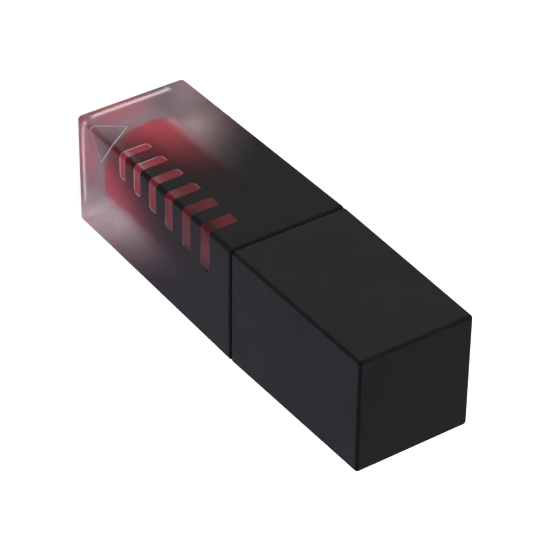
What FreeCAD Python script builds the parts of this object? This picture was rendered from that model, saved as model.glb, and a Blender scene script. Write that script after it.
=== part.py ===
import FreeCAD, Part
import os
import Sketcher
from FreeCAD import Vector

# Square lip-tint tube: a thick clear bottle with a screw cap that carries the applicator wand.
# Frame: +Z runs up the tube's axis, and the origin is the centre of the base it stands on.
# The bottle's ornamented front edge lies at -X -Y.

os.makedirs("parts", exist_ok=True)
doc = FreeCAD.newDocument("lip_tint_tube")


# ---------------------------------------------------------------- driving dimensions (mm, degrees)

DIMENSIONS = [
    ("draft_angle", 0.5, "mould draft on the side faces of bottle and cap"),
    ("edge_round", 0.8, "radius along the bottle's long edges"),
    ("base_round", 0.65, "radius round the base"),
    ("shoulder_round", 0.55, "radius round the bottle's shoulder"),
    ("base_side", 19.4, "side of the bottle at the base"),
    ("shoulder_height", 42.55, "base to shoulder"),
    ("recess_side", 14.6, "side of the recess under the base"),
    ("recess_depth", 0.5, "depth of the recess under the base"),
    ("recess_round", 1.0, "corner radius of the recess"),
    ("cavity_radius", 5.5, "radius of the tint cavity and of the neck's bore"),
    ("cavity_floor", 4.85, "base to the cavity's floor"),
    ("cavity_round", 0.6, "radius round the cavity's floor"),
    ("neck_radius", 6.6, "radius of the neck at the thread root"),
    ("neck_length", 11.5, "shoulder to the neck's rim"),
    ("neck_chamfer", 0.3, "chamfer on the neck's rim"),
    ("thread_pitch", 3.0, "rise for one turn"),
    ("thread_turns", 1.25, "length of each thread"),
    ("thread_height", 0.7, "height of both threads"),
    ("thread_root", 1.2, "width of both threads at the root"),
    ("thread_crest", 0.6, "width of both threads at the crest"),
    ("thread_bed", 0.15, "how far a thread's profile reaches into its wall"),
    ("thread_start", 4.0, "shoulder to the middle of the neck thread's low end"),
    ("thread_drop", 1.05, "neck thread down to the cap thread that pulls on it"),
    ("tint_level", 38.0, "base to the top of the tint"),
    ("tint_gap", 0.05, "tint to the cavity's wall"),
    ("channel_radius", 2.5, "radius of the space the wand keeps open in the tint"),
    ("channel_floor", 6.2, "base to the bottom of that space"),
    ("wiper_gap", 0.05, "wiper sleeve to the neck's bore"),
    ("wiper_flange_radius", 6.3, "radius of the wiper's flange"),
    ("wiper_flange", 0.8, "thickness of the wiper's flange"),
    ("wiper_mouth_radius", 4.35, "radius of the wiper's mouth"),
    ("wiper_orifice_radius", 2.35, "radius of the hole the wand is wiped by"),
    ("wiper_lip_radius", 2.9, "outer radius of the wiper's lip"),
    ("wiper_length", 10.4, "wiper's lip to the underside of its flange"),
    ("wiper_lip", 1.0, "height of the straight part of the orifice"),
    ("wiper_cone_top", 7.9, "wiper's lip to the top of its cone"),
    ("wiper_sleeve_low", 7.0, "wiper's lip to the low end of its sleeve"),
    ("wiper_skirt_low", 6.4, "wiper's lip to the top of its outer cone"),
    ("wiper_skirt_radius", 4.9, "radius at the top of its outer cone"),
    ("gasket_inner_radius", 4.6, "hole in the neck gasket"),
    ("gasket_outer_radius", 6.3, "radius of the neck gasket"),
    ("gasket_thickness", 0.8, "thickness of the neck gasket"),
    ("stack_gap", 0.03, "play above and below the gasket"),
    ("rim_gap", 0.35, "bottle's shoulder to the cap's rim"),
    ("cap_side", 20.0, "side of the cap at its rim"),
    ("cap_length", 30.5, "rim to closed end"),
    ("cap_edge_round", 0.6, "radius along the cap's long edges"),
    ("cap_end_round", 0.55, "radius round the cap's closed end"),
    ("cap_opening", 17.5, "side of the cap's opening at the rim"),
    ("cap_roof", 1.3, "thickness of the cap's closed end"),
    ("cap_inner_round", 0.5, "radius in the cap's inner corners"),
    ("insert_rise", 0.8, "shoulder to the insert's lower edge"),
    ("insert_radius", 8.5, "outer radius of the insert's sleeve"),
    ("insert_bore_radius", 7.5, "radius of the insert's bore"),
    ("insert_roof", 1.2, "thickness of the insert's roof"),
    ("insert_top_gap", 0.3, "insert's ribs to the inside of the cap's closed end"),
    ("rib_width", 1.2, "thickness of the insert's ribs"),
    ("rib_reach", 16.4, "length of the cross ribs over the roof"),
    ("lug_reach", 22.4, "length across the corner lugs that key the insert to the cap"),
    ("tower_radius", 3.4, "radius of the tower and the spigot that hold the wand"),
    ("spigot_length", 3.6, "insert's roof to the bottom of the spigot"),
    ("ring_groove_radius", 3.0, "radius at the bottom of the seal ring's groove"),
    ("ring_groove_low", 0.6, "spigot's bottom to the groove"),
    ("ring_groove_width", 1.3, "width of the groove"),
    ("ring_radius", 3.65, "radius of the seal ring to the middle of its section"),
    ("ring_section", 0.58, "radius of the seal ring's section"),
    ("socket_depth", 14.0, "spigot's bottom to the end of the wand's socket"),
    ("socket_gap", 0.05, "wand to its socket, all round"),
    ("stem_radius", 2.0, "radius of the wand's stem"),
    ("stem_reach", 32.0, "spigot's bottom to the stem's low end"),
    ("collar_radius", 2.9, "radius of the collar that stops the stem in its socket"),
    ("collar_height", 0.75, "height of that collar"),
    ("core_radius", 1.2, "radius of the applicator's core"),
    ("core_gap", 0.04, "core to its hole in the stem, all round"),
    ("core_plug", 5.0, "length of core held in the stem"),
    ("core_reach", 11.2, "stem's low end to the core's tip"),
    ("core_tip_radius", 0.6, "radius of the core's tip"),
    ("core_tip_length", 1.2, "length of the core's tapered tip"),
    ("flock_reach", 12.8, "stem's low end to the flocking's tip"),
    ("flock_radius", 2.1, "largest radius of the flocking"),
    ("flock_neck_radius", 1.75, "radius of the flocking at the stem"),
    ("flock_tip_radius", 1.0, "radius of the flocking's tip"),
    ("flock_tip_length", 1.3, "length of the flocking's rounded tip"),
    ("flock_shoulder", 2.2, "stem's low end to the flocking's full radius"),
    ("slant_slope", 0.19, "sideways run of the slanted wiping face for each mm of height"),
    ("slant_offset", 0.35, "tube's axis to the slanted face at the flocking's tip"),
    ("slant_cover", 0.55, "flocking over the core on the slanted face, measured sideways"),
]

sheet = doc.addObject("Spreadsheet::Sheet", "Dims")
size = {}
for row, (alias, value, note) in enumerate(DIMENSIONS, start=1):
    sheet.set(f"A{row}", note)
    sheet.set(f"B{row}", str(value))
    sheet.setAlias(f"B{row}", alias)
    size[alias] = value
doc.recompute()


# ---------------------------------------------------------------- helpers

def dims(expression):
    """Write each alias in an expression as a reference to the sheet."""
    return " ".join("Dims." + word if word in size else word for word in expression.split())


def value_of(expression):
    """The number an expression has now, to draw a sketch near its solution."""
    numbers = " ".join(str(size[word]) if word in size else word for word in expression.split())
    return FreeCAD.Units.parseQuantity(numbers).Value


def new_body(name, z_expression=None):
    body = doc.addObject("PartDesign::Body", name)
    body.Label = name
    if z_expression:
        body.setExpression("Placement.Base.z", dims(z_expression))
    return body


def origin_feature(body, role):
    return next(item for item in body.Origin.OriginFeatures if item.Role == role)


def new_sketch(body, name, role, z_expression=None, turn=0):
    sketch = body.newObject("Sketcher::SketchObject", name)
    sketch.AttachmentSupport = [(origin_feature(body, role), "")]
    sketch.MapMode = "FlatFace"
    if turn:
        sketch.AttachmentOffset = FreeCAD.Placement(Vector(), FreeCAD.Rotation(Vector(0, 0, 1), turn))
    if z_expression:
        sketch.setExpression("AttachmentOffset.Base.z", dims(z_expression))
    return sketch


def bind(sketch, kind, *parts):
    """Add a constraint whose value follows an expression: the last item is the expression."""
    expression = parts[-1]
    index = sketch.addConstraint(Sketcher.Constraint(kind, *parts[:-1], value_of(expression)))
    sketch.setExpression(f"Constraints[{index}]", dims(expression))


def rectangle(sketch, width, depth):
    """A rectangle centred on the sketch's origin."""
    half_x = value_of(width) / 2
    half_y = value_of(depth) / 2
    corners = [
        Vector(-half_x, -half_y, 0),
        Vector(half_x, -half_y, 0),
        Vector(half_x, half_y, 0),
        Vector(-half_x, half_y, 0),
    ]
    for index in range(4):
        sketch.addGeometry(Part.LineSegment(corners[index], corners[(index + 1) % 4]))
    for index in range(4):
        sketch.addConstraint(Sketcher.Constraint("Coincident", index, 2, (index + 1) % 4, 1))
    sketch.addConstraint(Sketcher.Constraint("Horizontal", 0))
    sketch.addConstraint(Sketcher.Constraint("Horizontal", 2))
    sketch.addConstraint(Sketcher.Constraint("Vertical", 1))
    sketch.addConstraint(Sketcher.Constraint("Vertical", 3))
    sketch.addConstraint(Sketcher.Constraint("Symmetric", 0, 1, 2, 1, -1, 1))
    bind(sketch, "DistanceX", 0, 1, 0, 2, width)
    bind(sketch, "DistanceY", 1, 1, 1, 2, depth)


def circle(sketch, radius):
    sketch.addGeometry(Part.Circle(Vector(), Vector(0, 0, 1), value_of(radius)))
    sketch.addConstraint(Sketcher.Constraint("Coincident", 0, 3, -1, 1))
    bind(sketch, "Radius", 0, radius)


def outline(sketch, points):
    """A closed outline of straight lines. Each point is a pair of expressions, and "0" lies on an axis."""
    places = [Vector(value_of(across), value_of(up), 0) for across, up in points]
    count = len(places)
    for index in range(count):
        sketch.addGeometry(Part.LineSegment(places[index], places[(index + 1) % count]))
    for index in range(count):
        sketch.addConstraint(Sketcher.Constraint("Coincident", index, 2, (index + 1) % count, 1))
    for index, (across, up) in enumerate(points):
        if across == "0":
            sketch.addConstraint(Sketcher.Constraint("PointOnObject", index, 1, -2))
        else:
            bind(sketch, "DistanceX", -1, 1, index, 1, across)
        if up == "0":
            sketch.addConstraint(Sketcher.Constraint("PointOnObject", index, 1, -1))
        else:
            bind(sketch, "DistanceY", -1, 1, index, 1, up)


def prism(body, kind, sketch, length, taper=None, upward=True):
    """A Pad or a Pocket of a sketch. A Pocket cuts downward unless it is reversed."""
    feature = body.newObject("PartDesign::" + kind, sketch.Name + kind)
    feature.Profile = sketch
    feature.setExpression("Length", dims(length))
    feature.Reversed = upward if kind == "Pocket" else not upward
    if taper:
        feature.setExpression("TaperAngle", dims(taper))
    return feature


def turned(body, kind, points):
    """A Revolution or a Groove about the body's own Z axis."""
    sketch = new_sketch(body, body.Name + kind + "Profile", "XZ_Plane")
    outline(sketch, points)
    feature = body.newObject("PartDesign::" + kind, body.Name + kind)
    feature.Profile = sketch
    feature.ReferenceAxis = (sketch, ["V_Axis"])
    feature.Angle = 360
    return feature


def dress(body, kind, base, expression, chosen):
    """A Fillet or a Chamfer on each edge of the base feature that the test chooses."""
    doc.recompute()
    names = [f"Edge{i}" for i, edge in enumerate(base.Shape.Edges, start=1) if chosen(edge)]
    if not names:
        raise RuntimeError(f"no edge to dress on {body.Name} after {base.Name}")
    feature = body.newObject("PartDesign::" + kind, base.Name + kind)
    feature.Base = (base, names)
    feature.setExpression("Radius" if kind == "Fillet" else "Size", dims(expression))
    return feature


def screw_thread(body, points):
    """A thread that climbs the body's Z axis from a profile on the XZ plane."""
    sketch = new_sketch(body, body.Name + "ThreadProfile", "XZ_Plane")
    outline(sketch, points)
    feature = body.newObject("PartDesign::AdditiveHelix", body.Name + "Thread")
    feature.Profile = sketch
    feature.ReferenceAxis = (sketch, ["V_Axis"])
    feature.Mode = "pitch-turns-angle"
    feature.setExpression("Pitch", dims("thread_pitch"))
    feature.setExpression("Turns", dims("thread_turns"))
    feature.LeftHanded = False
    feature.Reversed = False
    return feature


def level(edge):
    """The height of an edge that lies flat, or None."""
    box = edge.BoundBox
    return round((box.ZMin + box.ZMax) / 2, 3) if box.ZLength < 1e-4 else None


def lies_at(height):
    return lambda edge: level(edge) is not None and abs(level(edge) - height) < 1e-3


def climbs(edge):
    return edge.BoundBox.ZLength > 0.8 * edge.Length and edge.BoundBox.ZLength > 0.3


# ---------------------------------------------------------------- bottle: one thick clear moulding

bottle = new_body("bottle_body")
block = new_sketch(bottle, "Block", "XY_Plane")
rectangle(block, "base_side", "base_side")
block_pad = prism(bottle, "Pad", block, "shoulder_height", taper="draft_angle")
long_edges = dress(bottle, "Fillet", block_pad, "edge_round", climbs)
base_edges = dress(bottle, "Fillet", long_edges, "base_round", lies_at(0))
shoulder_edges = dress(bottle, "Fillet", base_edges, "shoulder_round", lies_at(size["shoulder_height"]))

neck = new_sketch(bottle, "Neck", "XY_Plane", "shoulder_height")
circle(neck, "neck_radius")
neck_pad = prism(bottle, "Pad", neck, "neck_length")
rim_height = size["shoulder_height"] + size["neck_length"]
neck_rim = dress(bottle, "Chamfer", neck_pad, "neck_chamfer", lies_at(rim_height))

cavity = new_sketch(bottle, "Cavity", "XY_Plane", "shoulder_height + neck_length")
circle(cavity, "cavity_radius")
cavity_depth = "shoulder_height + neck_length - cavity_floor"
cavity_pocket = prism(bottle, "Pocket", cavity, cavity_depth, upward=False)
cavity_floor = dress(bottle, "Fillet", cavity_pocket, "cavity_round", lies_at(size["cavity_floor"]))

recess = new_sketch(bottle, "Recess", "XY_Plane")
rectangle(recess, "recess_side", "recess_side")
recess_pocket = prism(bottle, "Pocket", recess, "recess_depth")


def recess_corner(edge):
    box = edge.BoundBox
    half = size["recess_side"] / 2
    return abs(box.ZLength - size["recess_depth"]) < 1e-3 and abs(abs(box.XMin) - half) < 1e-3


recess_corners = dress(bottle, "Fillet", recess_pocket, "recess_round", recess_corner)

screw_thread(bottle, [
    ("neck_radius - thread_bed", "shoulder_height + thread_start - thread_root / 2"),
    ("neck_radius", "shoulder_height + thread_start - thread_root / 2"),
    ("neck_radius + thread_height", "shoulder_height + thread_start - thread_crest / 2"),
    ("neck_radius + thread_height", "shoulder_height + thread_start + thread_crest / 2"),
    ("neck_radius", "shoulder_height + thread_start + thread_root / 2"),
    ("neck_radius - thread_bed", "shoulder_height + thread_start + thread_root / 2"),
])


# ---------------------------------------------------------------- tint: fills the cavity round the wand

tint = new_body("tint_liquid", "cavity_floor + tint_gap")
tint_body = turned(tint, "Revolution", [
    ("0", "0"),
    ("cavity_radius - tint_gap", "0"),
    ("cavity_radius - tint_gap", "tint_level - cavity_floor"),
    ("channel_radius", "tint_level - cavity_floor"),
    ("channel_radius", "channel_floor - cavity_floor"),
    ("0", "channel_floor - cavity_floor"),
])
dress(tint, "Fillet", tint_body, "cavity_round", lambda edge: level(edge) is not None and level(edge) < 1e-3)


# ---------------------------------------------------------------- wiper: soft collar pressed into the neck

wiper = new_body("neck_wiper", "shoulder_height + neck_length - wiper_length")
turned(wiper, "Revolution", [
    ("wiper_orifice_radius", "0"),
    ("wiper_lip_radius", "0"),
    ("wiper_skirt_radius", "wiper_skirt_low"),
    ("cavity_radius - wiper_gap", "wiper_sleeve_low"),
    ("cavity_radius - wiper_gap", "wiper_length"),
    ("wiper_flange_radius", "wiper_length"),
    ("wiper_flange_radius", "wiper_length + wiper_flange"),
    ("wiper_mouth_radius", "wiper_length + wiper_flange"),
    ("wiper_mouth_radius", "wiper_cone_top"),
    ("wiper_orifice_radius", "wiper_lip"),
])


# ---------------------------------------------------------------- seals

gasket_height = "shoulder_height + neck_length + wiper_flange + stack_gap"
gasket = new_body("neck_gasket", gasket_height)
gasket_disc = new_sketch(gasket, "GasketDisc", "XY_Plane")
circle(gasket_disc, "gasket_outer_radius")
prism(gasket, "Pad", gasket_disc, "gasket_thickness")
gasket_hole = new_sketch(gasket, "GasketHole", "XY_Plane")
circle(gasket_hole, "gasket_inner_radius")
prism(gasket, "Pocket", gasket_hole, "gasket_thickness")

ROOF_UNDERSIDE = gasket_height + " + gasket_thickness + stack_gap"
SPIGOT_BOTTOM = ROOF_UNDERSIDE + " - spigot_length"

ring = doc.addObject("Part::Torus", "wand_seal_ring")
ring.Label = "wand_seal_ring"
ring.setExpression("Radius1", dims("ring_radius"))
ring.setExpression("Radius2", dims("ring_section"))
ring.setExpression(
    "Placement.Base.z", dims(SPIGOT_BOTTOM + " + ring_groove_low + ring_groove_width / 2")
)


# ---------------------------------------------------------------- cap shell

cap = new_body("cap_shell", "shoulder_height + rim_gap")
cap_block = new_sketch(cap, "CapBlock", "XY_Plane")
rectangle(cap_block, "cap_side", "cap_side")
cap_pad = prism(cap, "Pad", cap_block, "cap_length", taper="0 - draft_angle")
cap_edges = dress(cap, "Fillet", cap_pad, "cap_edge_round", climbs)
cap_end = dress(cap, "Fillet", cap_edges, "cap_end_round", lies_at(size["cap_length"]))
cap_hollow = new_sketch(cap, "CapHollow", "XY_Plane")
rectangle(cap_hollow, "cap_opening", "cap_opening")
cap_pocket = prism(cap, "Pocket", cap_hollow, "cap_length - cap_roof", taper="0 - draft_angle")


def inner_corner(edge):
    inside = abs(edge.BoundBox.XMax) < size["cap_opening"] / 2 + 1e-3
    return climbs(edge) and inside and abs(edge.BoundBox.XMin) < size["cap_opening"] / 2 + 1e-3


cap_corners = dress(cap, "Fillet", cap_pocket, "cap_inner_round", inner_corner)


# ---------------------------------------------------------------- threaded insert with ribs and tower

INSERT_LOW = "shoulder_height + insert_rise"
BORE_TOP = ROOF_UNDERSIDE + " - shoulder_height - insert_rise"
INSERT_ROOF = BORE_TOP + " + insert_roof"
INSERT_TOP = "rim_gap + cap_length - cap_roof - insert_top_gap - insert_rise"
SPIGOT_LOW = BORE_TOP + " - spigot_length"
SOCKET_END = SPIGOT_LOW + " + socket_depth"
GROOVE_LOW = SPIGOT_LOW + " + ring_groove_low"

insert = new_body("cap_insert", INSERT_LOW)
turned(insert, "Revolution", [
    ("0", "0"),
    ("insert_radius", "0"),
    ("insert_radius", INSERT_ROOF),
    ("tower_radius", INSERT_ROOF),
    ("tower_radius", INSERT_TOP),
    ("0", INSERT_TOP),
])
for name, turn in (("LugA", 45), ("LugB", 135)):
    lug = new_sketch(insert, name, "XY_Plane", turn=turn)
    rectangle(lug, "lug_reach", "rib_width")
    prism(insert, "Pad", lug, INSERT_ROOF)
for name, turn in (("RibA", 0), ("RibB", 90)):
    rib = new_sketch(insert, name, "XY_Plane", INSERT_ROOF, turn=turn)
    rectangle(rib, "rib_reach", "rib_width")
    prism(insert, "Pad", rib, INSERT_TOP + " - ( " + INSERT_ROOF + " )")
insert_hollow = turned(insert, "Groove", [
    ("0", "0"),
    ("insert_bore_radius", "0"),
    ("insert_bore_radius", BORE_TOP),
    ("tower_radius", BORE_TOP),
    ("tower_radius", GROOVE_LOW + " + ring_groove_width"),
    ("ring_groove_radius", GROOVE_LOW + " + ring_groove_width"),
    ("ring_groove_radius", GROOVE_LOW),
    ("tower_radius", GROOVE_LOW),
    ("tower_radius", SPIGOT_LOW),
    ("stem_radius + socket_gap", SPIGOT_LOW),
    ("stem_radius + socket_gap", SOCKET_END),
    ("0", SOCKET_END),
])
PULL_THREAD = "thread_start - thread_drop - insert_rise"
screw_thread(insert, [
    ("insert_bore_radius + thread_bed", PULL_THREAD + " - thread_root / 2"),
    ("insert_bore_radius", PULL_THREAD + " - thread_root / 2"),
    ("insert_bore_radius - thread_height", PULL_THREAD + " - thread_crest / 2"),
    ("insert_bore_radius - thread_height", PULL_THREAD + " + thread_crest / 2"),
    ("insert_bore_radius", PULL_THREAD + " + thread_root / 2"),
    ("insert_bore_radius + thread_bed", PULL_THREAD + " + thread_root / 2"),
])


# ---------------------------------------------------------------- wand: stem, applicator core, flocking

STEM_LOW = SPIGOT_BOTTOM + " - stem_reach"
COLLAR_TOP = "stem_reach - socket_gap"

stem = new_body("wand_stem", STEM_LOW)
turned(stem, "Revolution", [
    ("core_radius + core_gap", "0"),
    ("stem_radius", "0"),
    ("stem_radius", COLLAR_TOP + " - collar_height"),
    ("collar_radius", COLLAR_TOP + " - collar_height"),
    ("collar_radius", COLLAR_TOP),
    ("stem_radius", COLLAR_TOP),
    ("stem_radius", "stem_reach + socket_depth - socket_gap"),
    ("0", "stem_reach + socket_depth - socket_gap"),
    ("0", "core_plug + core_gap"),
    ("core_radius + core_gap", "core_plug + core_gap"),
])

FLOCK_LOW = STEM_LOW + " - flock_reach"
CORE_LOW = "flock_reach - core_reach"
FLOCK_SLANT_TOP = "( flock_radius - slant_offset ) / slant_slope"
CORE_SLANT_TIP = "slant_offset - slant_cover + slant_slope * ( " + CORE_LOW + " )"
CORE_SLANT_TOP = "( core_radius - slant_offset + slant_cover ) / slant_slope - ( " + CORE_LOW + " )"
HOLE_WALL = "core_radius + core_gap"


def wedge(body, kind, points):
    """A Pad or a Pocket of a wedge drawn on the XZ plane, out to both sides of it."""
    sketch = new_sketch(body, body.Name + kind + "Wedge", "XZ_Plane")
    outline(sketch, points)
    feature = body.newObject("PartDesign::" + kind, body.Name + kind)
    feature.Profile = sketch
    feature.Midplane = True
    feature.setExpression("Length", dims("2 * ( " + HOLE_WALL + " )" if kind == "Pad" else "4 * flock_radius"))
    return feature


core = new_body("applicator_core", STEM_LOW + " - core_reach")
turned(core, "Revolution", [
    ("0", "0"),
    ("core_tip_radius", "0"),
    ("core_radius", "core_tip_length"),
    ("core_radius", "core_reach + core_plug"),
    ("0", "core_reach + core_plug"),
])
wedge(core, "Pocket", [
    (CORE_SLANT_TIP, "0"),
    ("core_radius", "0"),
    ("core_radius", CORE_SLANT_TOP),
])

flock = new_body("applicator_flocking", FLOCK_LOW)
turned(flock, "Revolution", [
    ("0", "0"),
    ("flock_tip_radius", "0"),
    ("flock_radius", "flock_tip_length"),
    ("flock_radius", "flock_reach - flock_shoulder"),
    ("flock_neck_radius", "flock_reach - core_gap"),
    (HOLE_WALL, "flock_reach - core_gap"),
    (HOLE_WALL, CORE_LOW + " + core_tip_length"),
    ("core_tip_radius + core_gap", CORE_LOW + " - core_gap"),
    ("0", CORE_LOW + " - core_gap"),
])
wedge(flock, "Pad", [
    (CORE_SLANT_TIP + " + core_gap", CORE_LOW + " - core_gap"),
    (HOLE_WALL, CORE_LOW + " - core_gap"),
    (HOLE_WALL, CORE_LOW + " + " + CORE_SLANT_TOP),
])
wedge(flock, "Pocket", [
    ("slant_offset", "0"),
    ("flock_radius", "0"),
    ("flock_radius", FLOCK_SLANT_TOP),
])


# ---------------------------------------------------------------- check and write

doc.recompute()
for item in doc.Objects:
    if {"Invalid", "Error"} & set(item.State):
        raise RuntimeError(f"{item.Name}: {item.State}")

PARTS = [bottle, tint, wiper, gasket, ring, cap, insert, stem, core, flock]
for item in PARTS:
    shape = item.Shape
    if shape.isNull() or not shape.isValid() or len(shape.Solids) != 1:
        raise RuntimeError(f"{item.Label}: shape is not one valid solid")
    shape.exportStep(f"parts/{item.Label}.step")
    box = shape.BoundBox
    print(f"{item.Label:22s} {shape.Volume:9.2f} mm3  z {box.ZMin:6.2f} to {box.ZMax:6.2f}")
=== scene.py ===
import math
import random

import bmesh
import bpy
from mathutils import Matrix, Vector


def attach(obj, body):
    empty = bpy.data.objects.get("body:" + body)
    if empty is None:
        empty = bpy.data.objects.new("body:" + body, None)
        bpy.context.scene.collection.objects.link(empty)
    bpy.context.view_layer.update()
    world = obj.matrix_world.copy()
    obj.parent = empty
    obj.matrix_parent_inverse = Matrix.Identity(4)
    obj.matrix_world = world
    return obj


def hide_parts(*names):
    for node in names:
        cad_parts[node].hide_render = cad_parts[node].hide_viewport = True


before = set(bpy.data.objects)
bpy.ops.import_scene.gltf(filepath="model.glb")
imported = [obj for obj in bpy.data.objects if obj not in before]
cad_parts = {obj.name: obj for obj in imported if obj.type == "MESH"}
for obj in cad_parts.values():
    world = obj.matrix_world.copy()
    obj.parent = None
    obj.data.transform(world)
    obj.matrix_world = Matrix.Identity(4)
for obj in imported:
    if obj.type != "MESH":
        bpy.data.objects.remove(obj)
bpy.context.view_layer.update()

MM = 0.001

# The tube's own sizes, in millimetres, as the frame has them.
BASE_HALF = 9.7
DRAFT = math.tan(math.radians(0.5))
SHOULDER = 42.55
EDGE_ROUND = 0.8
BASE_ROUND = 0.65
SHOULDER_ROUND = 0.55
RECESS_HALF = 7.3
RECESS_DEPTH = 0.5
RECESS_ROUND = 1.0
NECK_RADIUS = 6.6
NECK_TOP = 54.05
BORE_RADIUS = 5.5
BORE_FLOOR = 4.85
BORE_ROUND = 0.6
PITCH = 3.0
THREAD_START = 46.55
THREAD_TURNS = 1.25
THREAD_HEIGHT = 0.7
THREAD_HALF_WIDTH = 0.6
THREAD_FLANK = 0.3
TINT_TOP = 38.0
CHANNEL_RADIUS = 2.45

# What only the visual model has: windows in the coat, the tint's overlap with the wall, and fibres.
WINDOW_DEPTH = 0.07
WETTING = 0.02
FIBRES = 5200
FIBRE_RADIUS = 0.022

# How finely rounded edges and circles are divided.
ROUND_STEPS = 6
CIRCLE_STEPS = 192


# ---------------------------------------------------------------- camera

def add_camera():
    """Look down at the tube from the side of its marked edge, rolled so that it lies across the picture."""
    data = bpy.data.cameras.new("camera")
    data.sensor_width = 36.0
    data.lens = 185.05
    data.clip_start = 0.01
    data.clip_end = 10.0
    camera = bpy.data.objects.new("camera", data)
    bpy.context.scene.collection.objects.link(camera)
    place = Matrix.Translation(Vector((-245.76, -190.84, 311.79)) * MM)
    heading = Matrix.Rotation(math.radians(-52.209), 4, "Z")
    tilt = Matrix.Rotation(math.radians(48.812), 4, "X")
    roll = Matrix.Rotation(math.radians(131.067), 4, "Z")
    camera.matrix_world = place @ heading @ tilt @ roll
    bpy.context.scene.camera = camera


add_camera()


# ---------------------------------------------------------------- mesh helpers

def rounded_square(half, radius, flats=12, arcs=12):
    """Points round a square with rounded corners, starting at the low end of the +X side."""
    points = []
    straight = half - radius
    for side in range(4):
        turn = math.radians(90 * side)
        ahead = Vector((math.cos(turn), math.sin(turn)))
        along = Vector((-math.sin(turn), math.cos(turn)))
        for step in range(flats):
            points.append(ahead * half + along * (straight * (2 * step / flats - 1)))
        centre = (ahead + along) * straight
        for step in range(arcs):
            angle = turn + math.radians(90 * step / arcs)
            points.append(centre + radius * Vector((math.cos(angle), math.sin(angle))))
    return points


def ring(bm, points, z):
    return [bm.verts.new((p[0], p[1], z)) for p in points]


def round_ring(bm, radius, z, count=CIRCLE_STEPS):
    angles = [2 * math.pi * i / count for i in range(count)]
    return ring(bm, [(radius * math.cos(a), radius * math.sin(a)) for a in angles], z)


def quarter_turn(steps):
    """Angles from 0 to 90 degrees, both ends included."""
    return [math.radians(90 * step / steps) for step in range(steps + 1)]


def skin(bm, rings, material=0):
    """Quads between neighbouring rings of the same count."""
    for low, high in zip(rings, rings[1:]):
        count = len(low)
        for i in range(count):
            j = (i + 1) % count
            face = bm.faces.new((low[i], low[j], high[j], high[i]))
            face.material_index = material


def bridge(bm, first, second, material=0):
    """Faces between two loops of different counts."""
    edges = []
    for loop in (first, second):
        count = len(loop)
        edges += [bm.edges.get((loop[i], loop[(i + 1) % count])) for i in range(count)]
    made = bmesh.ops.bridge_loops(bm, edges=edges)
    for face in made["faces"]:
        face.material_index = material


def finish_mesh(bm, name, materials, sharp=math.radians(32)):
    """Turn a bmesh into an object that is smooth but for its sharp edges, still in millimetres."""
    bmesh.ops.recalc_face_normals(bm, faces=bm.faces)
    for face in bm.faces:
        face.smooth = True
    for edge in bm.edges:
        edge.smooth = not (len(edge.link_faces) == 2 and edge.calc_face_angle(0) > sharp)
    mesh = bpy.data.meshes.new(name)
    bm.to_mesh(mesh)
    bm.free()
    for material in materials:
        mesh.materials.append(material)
    obj = bpy.data.objects.new(name, mesh)
    bpy.context.scene.collection.objects.link(obj)
    return obj


def to_metres(obj):
    """Scale an object's mesh from millimetres to the frame's metres."""
    obj.data.transform(Matrix.Scale(MM, 4))


def settle(obj):
    """Replace an object's mesh by what its modifiers make of it."""
    bpy.context.view_layer.update()
    depsgraph = bpy.context.evaluated_depsgraph_get()
    mesh = bpy.data.meshes.new_from_object(obj.evaluated_get(depsgraph))
    old = obj.data
    obj.modifiers.clear()
    obj.data = mesh
    bpy.data.meshes.remove(old)


def even_normals(obj):
    """Let the larger faces decide the shading, so that flat sides look flat."""
    modifier = obj.modifiers.new("normals", "WEIGHTED_NORMAL")
    modifier.mode = "FACE_AREA"
    modifier.weight = 100
    modifier.keep_sharp = True
    settle(obj)


# ---------------------------------------------------------------- material helpers

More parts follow.
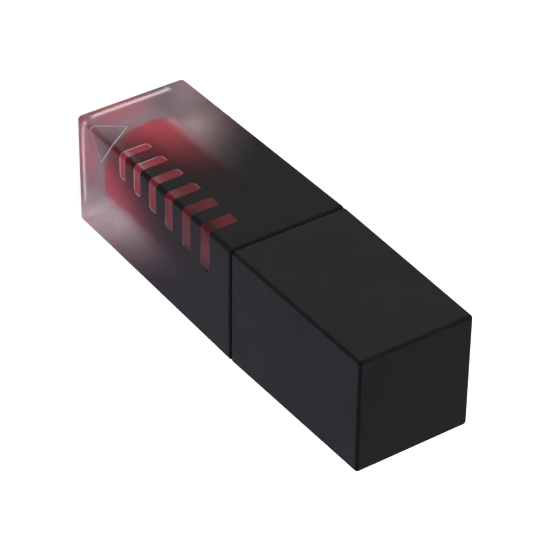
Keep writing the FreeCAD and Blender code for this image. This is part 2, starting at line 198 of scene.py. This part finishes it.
class Shader:
    """A material with one Principled shader, and short calls for the nodes that feed it."""

    def __init__(self, name):
        self.material = bpy.data.materials.new(name)
        self.material.use_nodes = True
        self.nodes = self.material.node_tree.nodes
        self.links = self.material.node_tree.links
        self.bsdf = next(n for n in self.nodes if n.type == "BSDF_PRINCIPLED")
        self.place = self.nodes.new("ShaderNodeTexCoord").outputs["Object"]

    def set(self, **values):
        for name, value in values.items():
            self.bsdf.inputs[name.replace("_", " ")].default_value = value

    def feed(self, name, output):
        self.links.new(output, self.bsdf.inputs[name])

    def coordinates(self):
        """The x, y and z of the point being shaded, in metres."""
        split = self.nodes.new("ShaderNodeSeparateXYZ")
        self.links.new(self.place, split.inputs[0])
        return split.outputs

    def ramp(self, output, stops):
        node = self.nodes.new("ShaderNodeValToRGB")
        elements = node.color_ramp.elements
        while len(elements) < len(stops):
            elements.new(0.5)
        for element, (position, colour) in zip(elements, stops):
            element.position = position
            if isinstance(colour, (int, float)):
                colour = (colour, colour, colour)
            element.color = (*colour, 1.0)
        self.links.new(output, node.inputs[0])
        return node.outputs[0]

    def attribute(self, name):
        node = self.nodes.new("ShaderNodeAttribute")
        node.attribute_name = name
        return node.outputs["Fac"]

    def remap(self, output, low, high, to_low=0.0, to_high=1.0, smooth=False):
        node = self.nodes.new("ShaderNodeMapRange")
        node.interpolation_type = "SMOOTHSTEP" if smooth else "LINEAR"
        node.inputs["From Min"].default_value = low
        node.inputs["From Max"].default_value = high
        node.inputs["To Min"].default_value = to_low
        node.inputs["To Max"].default_value = to_high
        self.links.new(output, node.inputs["Value"])
        return node.outputs[0]

    def noise(self, scale, detail=3.0):
        node = self.nodes.new("ShaderNodeTexNoise")
        node.inputs["Scale"].default_value = scale
        node.inputs["Detail"].default_value = detail
        self.links.new(self.place, node.inputs["Vector"])
        return node.outputs[0]

    def drift(self, scale, detail, low, high):
        """Noise spread over low to high."""
        return self.remap(self.noise(scale, detail), 0.3, 0.7, low, high)

    def mottle(self, scale, low, high, detail=3.0):
        """Noise between two colours."""
        return self.ramp(self.noise(scale, detail), [(0.3, low), (0.7, high)])

    def maths(self, kind, first, second):
        node = self.nodes.new("ShaderNodeMath")
        node.operation = kind
        for socket, value in zip(node.inputs, (first, second)):
            if isinstance(value, (int, float)):
                socket.default_value = value
            else:
                self.links.new(value, socket)
        return node.outputs[0]

    def mix(self, factor, first, second):
        node = self.nodes.new("ShaderNodeMix")
        node.data_type = "RGBA"
        for index, value in ((0, factor), (6, first), (7, second)):
            if isinstance(value, (int, float, tuple)):
                node.inputs[index].default_value = value
            else:
                self.links.new(value, node.inputs[index])
        return node.outputs[2]

    def bump(self, output, distance, strength):
        node = self.nodes.new("ShaderNodeBump")
        node.inputs["Strength"].default_value = strength
        node.inputs["Distance"].default_value = distance
        self.links.new(output, node.inputs["Height"])
        self.feed("Normal", node.outputs[0])


# ---------------------------------------------------------------- materials

def soft_black():
    """Soft-touch black plastic."""
    shader = Shader("soft_touch_black")
    shader.set(Roughness=0.5, IOR=1.5, Specular_IOR_Level=0.45)
    shader.feed("Base Color", shader.mottle(350.0, (0.0060, 0.0057, 0.0062), (0.0072, 0.0069, 0.0074), 4.0))
    shader.feed("Roughness", shader.drift(90.0, 3.0, 0.46, 0.54))
    shader.bump(shader.noise(9000.0, 2.0), 0.01 * MM, 0.35)
    return shader.material


def bottle_plastic():
    """Clear smoky plastic under a matte spray coat.

    The coat is frosted at the base and black from the middle up. Towards the long edges its blackening is
    drawn lower, and mid-face higher, as painted shade on the rounded edges.
    The attribute "bare" is 1 where there is no coat. A second attribute is 1 on the outline near the base,
    which is inked pale grey as a painted highlight standing in for the glints along its groove.
    """
    shader = Shader("bottle_plastic")
    bare = shader.attribute("bare")
    glint_ink = shader.attribute("glint_ink")
    x, y, z = shader.coordinates()
    # Painted shade: near the long edges the coat turns black lower down than mid-face, which darkens the
    # rounded edges.
    from_middle = shader.maths("MINIMUM", shader.maths("ABSOLUTE", x, 0.0), shader.maths("ABSOLUTE", y, 0.0))
    edge_shade = shader.remap(from_middle, 0.0, 9.5 * MM, -2.4 * MM, 7.5 * MM, smooth=True)
    uneven = shader.maths(
        "ADD",
        shader.drift(2500.0, 2.0, -0.2 * MM, 0.2 * MM),
        shader.drift(90.0, 2.0, -0.5 * MM, 0.5 * MM),
    )
    level = shader.maths("ADD", shader.maths("ADD", z, edge_shade), uneven)
    along = shader.remap(level, 0.0, 40.0 * MM)
    tone = shader.ramp(along, [
        (0.0, (1.0, 0.88, 0.92)), (0.20, (0.94, 0.82, 0.86)), (0.25, (0.80, 0.71, 0.74)),
        (0.30, (0.62, 0.53, 0.55)), (0.35, (0.43, 0.35, 0.35)), (0.40, (0.26, 0.205, 0.20)),
        (0.45, (0.14, 0.109, 0.106)), (0.50, (0.067, 0.052, 0.051)), (0.55, (0.031, 0.0255, 0.026)),
        (0.60, (0.0142, 0.013, 0.0136)), (0.65, (0.0115, 0.011, 0.0118)),
    ])
    through = shader.ramp(along, [(0.58, 1.0), (0.65, 0.6), (0.70, 0.25), (0.75, 0.0)])
    colour = shader.mix(bare, tone, (0.97, 0.96, 0.96, 1.0))
    # Painted highlight: the outline's pale grey ink is less clear than the coat and stands in for the glints
    # of its groove.
    shader.feed("Base Color", shader.mix(glint_ink, colour, (0.50, 0.485, 0.50, 1.0)))
    clear = shader.maths("MAXIMUM", through, bare)
    blocked = shader.maths("MULTIPLY", glint_ink, 0.7)
    shader.feed("Transmission Weight", shader.maths("SUBTRACT", clear, blocked))
    shader.feed("Roughness", shader.mix(bare, shader.drift(400.0, 2.0, 0.32, 0.36), (0.03, 0.03, 0.03, 1.0)))
    shader.set(IOR=1.5, Specular_IOR_Level=0.23, Specular_Tint=(0.35, 0.35, 0.36, 1.0))
    volume = shader.nodes.new("ShaderNodeVolumeAbsorption")
    volume.inputs["Color"].default_value = (0.12, 0.0, 0.05, 1.0)
    volume.inputs["Density"].default_value = 30.0
    output = next(n for n in shader.nodes if n.type == "OUTPUT_MATERIAL")
    shader.links.new(volume.outputs[0], output.inputs["Volume"])
    return shader.material


def red_tint():
    """Pigmented liquid. Where it is seen at a slant through the wall, the wall mirrors instead."""
    shader = Shader("red_tint")
    shader.set(Roughness=0.3, IOR=1.4, Coat_IOR=3.2, Coat_Roughness=0.03)
    shader.feed("Base Color", shader.mottle(180.0, (0.82, 0.058, 0.10), (0.88, 0.07, 0.115)))
    slant = shader.nodes.new("ShaderNodeLayerWeight")
    slant.inputs["Blend"].default_value = 0.5
    shader.feed("Coat Weight", shader.remap(slant.outputs["Facing"], 0.45, 0.60))
    return shader.material


def moulded(name, low, high, roughness, scale=200.0, grain=0.01, stain=None):
    """Plain moulded plastic or rubber with a slight mottle and a fine grain.

    stain is (height where it is full, height where it has faded, colour). All lengths are in millimetres.
    """
    shader = Shader(name)
    colour = shader.mottle(scale, low, high)
    if stain:
        full, faded, red = stain[0] * MM, stain[1] * MM, stain[2]
        streak = 0.25 * (faded - full)
        level = shader.maths("ADD", shader.coordinates()[2], shader.drift(700.0, 3.0, -streak, streak))
        colour = shader.mix(shader.remap(level, full, faded, 1.0, 0.0, smooth=True), colour, (*red, 1.0))
    shader.feed("Base Color", colour)
    shader.feed("Roughness", shader.drift(scale * 1.7, 3.0, roughness - 0.04, roughness + 0.04))
    shader.bump(shader.noise(scale * 12, 2.0), grain * MM, 0.3)
    return shader.material


def dress(node, material):
    """Give one of the frame's own pieces a material."""
    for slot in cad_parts[node].material_slots:
        slot.material = material


# ---------------------------------------------------------------- bottle

def half_at(z):
    return BASE_HALF + DRAFT * z


def thread_ridge(angle, z):
    """How far the neck thread stands out at an angle (radians, 0 to 2 pi) and a height."""
    best = 0.0
    for lap in range(2):
        turned = angle + 2 * math.pi * lap
        if turned > 2 * math.pi * THREAD_TURNS:
            continue
        off = abs(z - THREAD_START - PITCH * turned / (2 * math.pi))
        if off < THREAD_HALF_WIDTH:
            best = max(best, min(THREAD_HEIGHT, THREAD_HEIGHT * (THREAD_HALF_WIDTH - off) / THREAD_FLANK))
    return best


def bottle_mesh():
    """The bottle as one closed skin. The neck and the bore, which have no coat, get material 1."""
    bm = bmesh.new()
    outer = []

    def square_ring(half, radius, z):
        outer.append(ring(bm, rounded_square(half, max(radius, 0.2)), z))

    # recess under the base, its softened lip, the rim and the rounded base edge
    lip = 0.12
    bend = 0.035
    square_ring(RECESS_HALF - lip, RECESS_ROUND - lip, RECESS_DEPTH)
    square_ring(RECESS_HALF, RECESS_ROUND, RECESS_DEPTH - lip)
    square_ring(RECESS_HALF, RECESS_ROUND, lip)
    square_ring(RECESS_HALF + bend, RECESS_ROUND + bend, bend)
    square_ring(RECESS_HALF + lip, RECESS_ROUND + lip, 0.0)
    for angle in quarter_turn(ROUND_STEPS):
        inset = BASE_ROUND * (1 - math.sin(angle))
        z = BASE_ROUND * (1 - math.cos(angle))
        square_ring(half_at(z) - inset, EDGE_ROUND - inset, z)
    for z in (10.0, 20.0, 30.0, 38.5):
        square_ring(half_at(z), EDGE_ROUND, z)
    for angle in quarter_turn(ROUND_STEPS):
        inset = SHOULDER_ROUND * (1 - math.cos(angle))
        z = SHOULDER - SHOULDER_ROUND * (1 - math.sin(angle))
        square_ring(half_at(z) - inset, EDGE_ROUND - inset, z)
    skin(bm, outer)
    bm.faces.new(outer[0])

    # neck with its thread
    inner = [
        round_ring(bm, NECK_RADIUS + 0.25, SHOULDER),
        round_ring(bm, NECK_RADIUS + 0.07, SHOULDER + 0.07),
    ]
    z = SHOULDER + 0.25
    while z < NECK_TOP - 0.35:
        points = []
        for index in range(CIRCLE_STEPS):
            angle = 2 * math.pi * index / CIRCLE_STEPS
            radius = NECK_RADIUS + thread_ridge(angle, z)
            points.append((radius * math.cos(angle), radius * math.sin(angle)))
        inner.append(ring(bm, points, z))
        z += 0.1

    # the rim, the bore and its rounded floor
    for radius, z in (
        (NECK_RADIUS, NECK_TOP - 0.3),
        (NECK_RADIUS - 0.3, NECK_TOP),
        (BORE_RADIUS + 0.1, NECK_TOP),
        (BORE_RADIUS, NECK_TOP - 0.1),
        (BORE_RADIUS, TINT_TOP + 4),
        (BORE_RADIUS, TINT_TOP),
        (BORE_RADIUS, 20.0),
    ):
        inner.append(round_ring(bm, radius, z))
    for angle in quarter_turn(8):
        radius = BORE_RADIUS - BORE_ROUND * (1 - math.cos(angle))
        z = BORE_FLOOR + BORE_ROUND * (1 - math.sin(angle))
        inner.append(round_ring(bm, radius, z))
    skin(bm, inner, material=1)
    floor = bm.faces.new(inner[-1])
    floor.material_index = 1
    bridge(bm, outer[-1], inner[0])
    return bm


def edge_point(s, z, out):
    """A point off the bottle's skin by `out`, at arc length s from the middle of the -X -Y edge.

    s grows from the -X face round the edge on to the -Y face.
    """
    half = half_at(z)
    straight = half - EDGE_ROUND
    arc = math.pi / 4 * EDGE_ROUND
    centre = Vector((-straight, -straight))
    if abs(s) <= arc:
        angle = math.radians(225) + s / EDGE_ROUND
        flat = centre + (EDGE_ROUND + out) * Vector((math.cos(angle), math.sin(angle)))
    elif s > 0:
        flat = Vector((-straight + (s - arc), -half - out))
    else:
        flat = Vector((-half - out, -straight - (s + arc)))
    return (flat.x, flat.y, z)


def across_stations(low, high, hole_half=None):
    """Stations across the edge: close together round the edge's radius, and where a hole begins and ends."""
    arc = math.pi / 4 * EDGE_ROUND
    stations = [low, high]
    if hole_half:
        stations += [-hole_half, 0.0, hole_half]
    round_the_edge = [arc * i / 8 for i in range(-8, 9)]
    evenly = [low + (high - low) * i / 24 for i in range(25)]
    for s in round_the_edge + evenly:
        if low < s < high and min(abs(s - other) for other in stations) > 0.05:
            stations.append(s)
    return sorted(stations)


def window_cutter(bm, middle, outside, low, high, inside=None, hole_half=None, material=1):
    """A thin block that follows the skin from s = low to high. outside(s) is its half height.

    inside(s) is the half height of a hole in it, which closes at s = +-hole_half. The faces that the
    block leaves in the skin take its material.
    """
    stations = across_stations(low, high, hole_half)
    sheets = []
    for out in (-WINDOW_DEPTH, 0.3):
        columns = []
        for s in stations:
            big = outside(s)
            small = inside(s) if hole_half and abs(s) < hole_half - 1e-6 else 0.0
            lowest = bm.verts.new(edge_point(s, middle - big, out))
            highest = bm.verts.new(edge_point(s, middle + big, out))
            if small > 0:
                hole_low = bm.verts.new(edge_point(s, middle - small, out))
                hole_high = bm.verts.new(edge_point(s, middle + small, out))
            else:
                hole_low = hole_high = bm.verts.new(edge_point(s, middle, out))
            columns.append((lowest, hole_low, hole_high, highest))
        sheets.append(columns)
    under, over = sheets
    for i in range(len(stations) - 1):
        j = i + 1
        for sheet in sheets:
            for a, b in ((0, 1), (2, 3)):
                face = bm.faces.new((sheet[i][a], sheet[j][a], sheet[j][b], sheet[i][b]))
                face.material_index = material
        walls = [0, 3]
        if under[i][1] is not under[i][2] or under[j][1] is not under[j][2]:
            walls += [1, 2]
        for k in walls:
            face = bm.faces.new((under[i][k], under[j][k], over[j][k], over[i][k]))
            face.material_index = material
    for i in (0, -1):
        for a, b in ((0, 1), (2, 3)):
            face = bm.faces.new((under[i][a], under[i][b], over[i][b], over[i][a]))
            face.material_index = material


def lozenge_cutter(bm):
    """Thin outline of a lozenge by the base, with softened tips. Its faces get the pale ink that is painted
    as the groove's glints.
    """
    reach, tall, line = 4.7, 3.5, 0.30
    blunt, soft = 0.1, 0.12

    def outside(s):
        return blunt + (tall - blunt) * max(0.0, 1 - math.hypot(s / reach, soft))

    def inside(s):
        return outside(s) - line

    hole_half = reach * math.sqrt((1 - (line - blunt) / (tall - blunt)) ** 2 - soft ** 2)
    window_cutter(bm, 7.0, outside, -reach, reach, inside, hole_half, material=2)


def bar_cutter(bm, middle, width, left, right, chamfer=0.25):
    """A bar that reaches left over the -X face and right over the -Y face."""

    def outside(s):
        return width / 2 - max(0.0, chamfer - min(s + left, right - s))

    window_cutter(bm, middle, outside, -left, right)


def ornament_cutter():
    """The lozenge, and bars that grow towards the cap: height, width and the two reaches of each."""
    bm = bmesh.new()
    lozenge_cutter(bm)
    for middle, width, left, right in (
        (13.3, 1.6, 4.7, 4.1), (17.4, 1.75, 4.75, 4.6), (21.7, 1.9, 4.8, 5.1),
        (26.2, 2.05, 4.85, 5.7), (30.9, 2.2, 4.9, 6.4), (35.9, 2.35, 4.95, 7.2),
    ):
        bar_cutter(bm, middle, width, left, right)
    return bm


def mark_skin(obj):
    """Note which faces have no coat or carry the outline's pale ink (a painted highlight for its glints), and
    give the whole skin one material.

    The wide flat sides are shaded flat, so that the small faces beside them don't bend their light.
    """
    mesh = obj.data
    bare = mesh.attributes.new("bare", "FLOAT", "FACE")
    glint_ink = mesh.attributes.new("glint_ink", "FLOAT", "FACE")
    for polygon in mesh.polygons:
        bare.data[polygon.index].value = 1.0 if polygon.material_index == 1 else 0.0
        glint_ink.data[polygon.index].value = 1.0 if polygon.material_index == 2 else 0.0
        polygon.material_index = 0
        upright = max(abs(polygon.normal.x), abs(polygon.normal.y)) > 0.9999
        outermost = max(abs(polygon.center.x), abs(polygon.center.y)) > 9
        if upright and outermost and polygon.area > 0.02:
            polygon.use_smooth = False
    while len(mesh.materials) > 1:
        mesh.materials.pop()


bottle_look = bottle_plastic()
bottle = finish_mesh(bottle_mesh(), "bottle", [bottle_look] * 3)
cutter = finish_mesh(ornament_cutter(), "cutter", [bottle_look] * 3)
cut = bottle.modifiers.new("windows", "BOOLEAN")
cut.operation = "DIFFERENCE"
cut.solver = "EXACT"
cut.object = cutter
settle(bottle)
bpy.data.objects.remove(cutter)
mark_skin(bottle)
even_normals(bottle)
to_metres(bottle)
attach(bottle, "bottle")
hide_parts("bottle_body")


# ---------------------------------------------------------------- tint

def tint_mesh():
    """The tint wets the bore: it reaches a hair into the wall, and climbs a little at its edges."""
    wall = BORE_RADIUS + WETTING
    floor = BORE_FLOOR - WETTING
    outline = [(3.4, floor)]
    for angle in reversed(quarter_turn(9)[:-1]):
        outline.append((
            wall - BORE_ROUND * (1 - math.cos(angle)),
            floor + BORE_ROUND * (1 - math.sin(angle)),
        ))
    outline += [(wall, 20.0), (wall, TINT_TOP + 0.5), (BORE_RADIUS - 0.25, TINT_TOP + 0.12)]
    outline += [(BORE_RADIUS - 0.8, TINT_TOP), (3.2, TINT_TOP), (2.7, TINT_TOP + 0.1)]
    outline += [(CHANNEL_RADIUS, TINT_TOP + 0.3), (CHANNEL_RADIUS, 20.0), (CHANNEL_RADIUS, 7.0)]
    outline += [(2.0, 6.4), (1.0, 6.2)]
    bm = bmesh.new()
    rings = [round_ring(bm, radius, z, 128) for radius, z in outline]
    skin(bm, rings)
    bm.faces.new(rings[0])
    bm.faces.new(rings[-1])
    return bm


tint = finish_mesh(tint_mesh(), "tint", [red_tint()])
even_normals(tint)
to_metres(tint)
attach(tint, "bottle")
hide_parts("tint_liquid")


# ---------------------------------------------------------------- the frame's own pieces

dress("cap_shell", soft_black())
dress("cap_insert", moulded("insert_black", (0.018, 0.018, 0.019), (0.026, 0.026, 0.027), 0.35))
dress("neck_wiper", moulded(
    "wiper_natural", (0.72, 0.70, 0.66), (0.80, 0.78, 0.74), 0.4, stain=(44.0, 49.0, (0.50, 0.10, 0.12)),
))
dress("neck_gasket", moulded("gasket_white", (0.75, 0.74, 0.71), (0.85, 0.84, 0.80), 0.7, 900.0, 0.02))
dress("wand_seal_ring", moulded("silicone", (0.62, 0.62, 0.60), (0.72, 0.72, 0.70), 0.3))
dress("wand_stem", moulded(
    "stem_black", (0.015, 0.014, 0.015), (0.024, 0.022, 0.023), 0.22, stain=(19.5, 24.5, (0.26, 0.02, 0.035)),
))
dress("applicator_core", moulded("core_white", (0.72, 0.70, 0.66), (0.80, 0.78, 0.74), 0.4))


# ---------------------------------------------------------------- flocking

def add_fibre(bm, root, up, length):
    """A thin three-sided spike, sunk a little into what it stands on."""
    side = up.orthogonal().normalized() * FIBRE_RADIUS
    other = up.cross(side)
    foot = root - up * 0.03
    corners = (side, other * 0.87 - side * 0.5, -other * 0.87 - side * 0.5)
    low = [bm.verts.new(foot + corner) for corner in corners]
    tip = bm.verts.new(root + up * length)
    bm.faces.new((low[2], low[1], low[0]))
    for i in range(3):
        bm.faces.new((low[i], low[(i + 1) % 3], tip))


def flock_mesh():
    """The flocking's body with short fibres standing on its outside."""
    bm = bmesh.new()
    bm.from_mesh(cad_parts["applicator_flocking"].data)
    bm.transform(Matrix.Scale(1 / MM, 4))
    bmesh.ops.triangulate(bm, faces=bm.faces)
    chance = random.Random(11)
    outside = []
    for face in bm.faces:
        middle = face.calc_center_median()
        sideways = Vector((middle.x, middle.y, 0)).normalized()
        if face.normal.z < 0.6 and face.normal.dot(sideways) > -0.2:
            outside.append(([v.co.copy() for v in face.verts], face.normal.copy(), face.calc_area()))
    covered = sum(area for _, _, area in outside)
    for corners, normal, area in outside:
        wanted = FIBRES * area / covered
        count = int(wanted) + (chance.random() < wanted % 1)
        for _ in range(count):
            a, b = chance.random(), chance.random()
            if a + b > 1:
                a, b = 1 - a, 1 - b
            root = corners[0] + (corners[1] - corners[0]) * a + (corners[2] - corners[0]) * b
            lean = Vector((chance.uniform(-0.5, 0.5), chance.uniform(-0.5, 0.5), chance.uniform(-0.7, 0.3)))
            add_fibre(bm, root, (normal + lean).normalized(), chance.uniform(0.09, 0.17))
    return bm


flock_look = moulded("flock_red", (0.30, 0.02, 0.035), (0.46, 0.045, 0.065), 0.75, 900.0, 0.04)
flock = finish_mesh(flock_mesh(), "flock", [flock_look])
to_metres(flock)
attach(flock, "cap_and_wand")
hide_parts("applicator_flocking")


# ---------------------------------------------------------------- studio

def add_floor():
    """A wide white floor, a hair below the base, as the air is under any plastic foot."""
    shader = Shader("studio_floor")
    shader.set(Roughness=0.7, Emission_Color=(1.0, 1.0, 1.0, 1.0), Emission_Strength=0.76)
    shader.feed("Base Color", shader.mottle(3.0, (0.86, 0.86, 0.86), (0.9, 0.9, 0.9), 2.0))
    reach = 3.0
    low = -0.05 * MM
    corners = [(-reach, -reach, low), (reach, -reach, low), (reach, reach, low), (-reach, reach, low)]
    mesh = bpy.data.meshes.new("floor")
    mesh.from_pydata(corners, [], [(0, 1, 2, 3)])
    mesh.materials.append(shader.material)
    floor = bpy.data.objects.new("floor", mesh)
    bpy.context.scene.collection.objects.link(floor)
    floor.visible_glossy = False


def add_room():
    """A dim room with soft glows where the tube's faces mirror it, and white where the camera sees it."""
    world = bpy.data.worlds.new("studio")
    bpy.context.scene.world = world
    world.use_nodes = True
    nodes = world.node_tree.nodes
    links = world.node_tree.links
    direction = nodes.new("ShaderNodeTexCoord").outputs["Generated"]
    path = nodes.new("ShaderNodeLightPath").outputs

    # the room is darker where it is mirrored than where it lights
    mirrored = nodes.new("ShaderNodeMath")
    mirrored.operation = "SUBTRACT"
    mirrored.use_clamp = True
    links.new(path["Is Glossy Ray"], mirrored.inputs[0])
    links.new(path["Is Transmission Ray"], mirrored.inputs[1])
    room = nodes.new("ShaderNodeMapRange")
    room.inputs["To Min"].default_value = 0.19
    room.inputs["To Max"].default_value = 0.08
    links.new(mirrored.outputs[0], room.inputs["Value"])

    # each glow has a direction, the cosines where it begins and is full, and a colour
    total = room.outputs[0]
    for aim, edge, core, colour in (
        ((-0.595, 0.461, -0.659), 0.72, 0.92, (0.32, 0.315, 0.325)),
        ((0.595, -0.461, -0.659), 0.72, 0.92, (0.33, 0.28, 0.375)),
        ((0.595, 0.461, 0.659), 0.78, 0.95, (0.19, 0.175, 0.235)),
        ((0.680, 0.680, -0.260), 0.72, 0.92, (0.26, 0.255, 0.265)),
    ):
        dot = nodes.new("ShaderNodeVectorMath")
        dot.operation = "DOT_PRODUCT"
        links.new(direction, dot.inputs[0])
        dot.inputs[1].default_value = aim
        glow = nodes.new("ShaderNodeMapRange")
        glow.interpolation_type = "SMOOTHSTEP"
        glow.inputs["From Min"].default_value = edge
        glow.inputs["From Max"].default_value = core
        links.new(dot.outputs["Value"], glow.inputs["Value"])
        add = nodes.new("ShaderNodeVectorMath")
        add.operation = "MULTIPLY_ADD"
        links.new(glow.outputs[0], add.inputs[0])
        add.inputs[1].default_value = colour
        links.new(total, add.inputs[2])
        total = add.outputs[0]

    # the paper sweep goes on behind the floor's far edge, so the camera itself sees white
    backdrop = nodes.new("ShaderNodeMix")
    backdrop.data_type = "RGBA"
    links.new(path["Is Camera Ray"], backdrop.inputs[0])
    links.new(total, backdrop.inputs[6])
    backdrop.inputs[7].default_value = (1.0, 1.0, 1.0, 1.0)
    links.new(backdrop.outputs[2], nodes["Background"].inputs["Color"])
    nodes["Background"].inputs["Strength"].default_value = 1.0


def add_lamp(name, place, aim, size, power):
    """A square soft box. The black faces mirror the room and not the lamps."""
    data = bpy.data.lights.new(name, "AREA")
    data.shape = "SQUARE"
    data.size = size
    data.energy = power
    light = bpy.data.objects.new(name, data)
    bpy.context.scene.collection.objects.link(light)
    light.location = place
    light.rotation_euler = (Vector(aim) - Vector(place)).to_track_quat("-Z", "Y").to_euler()
    light.visible_glossy = False


add_floor()
add_room()
add_lamp("key", (-0.35, 0.15, 0.6), (0, 0, 0.02), 0.4, 1.5)
add_lamp("back", (-0.12, 0.40, 0.42), (0, 0.06, 0), 0.3, 1.8)
add_lamp("fill", (-0.1, -0.6, 0.3), (0, 0, 0.04), 0.5, 0.6)
add_lamp("rear", (0.40, 0.31, 0.44), (0, 0, 0.005), 0.35, 0.14)
add_lamp("side", (0.40, -0.31, 0.44), (0, 0, 0.005), 0.35, 0.38)

scene = bpy.context.scene
scene.view_settings.view_transform = "Standard"
scene.cycles.max_bounces = 24
scene.cycles.transmission_bounces = 20
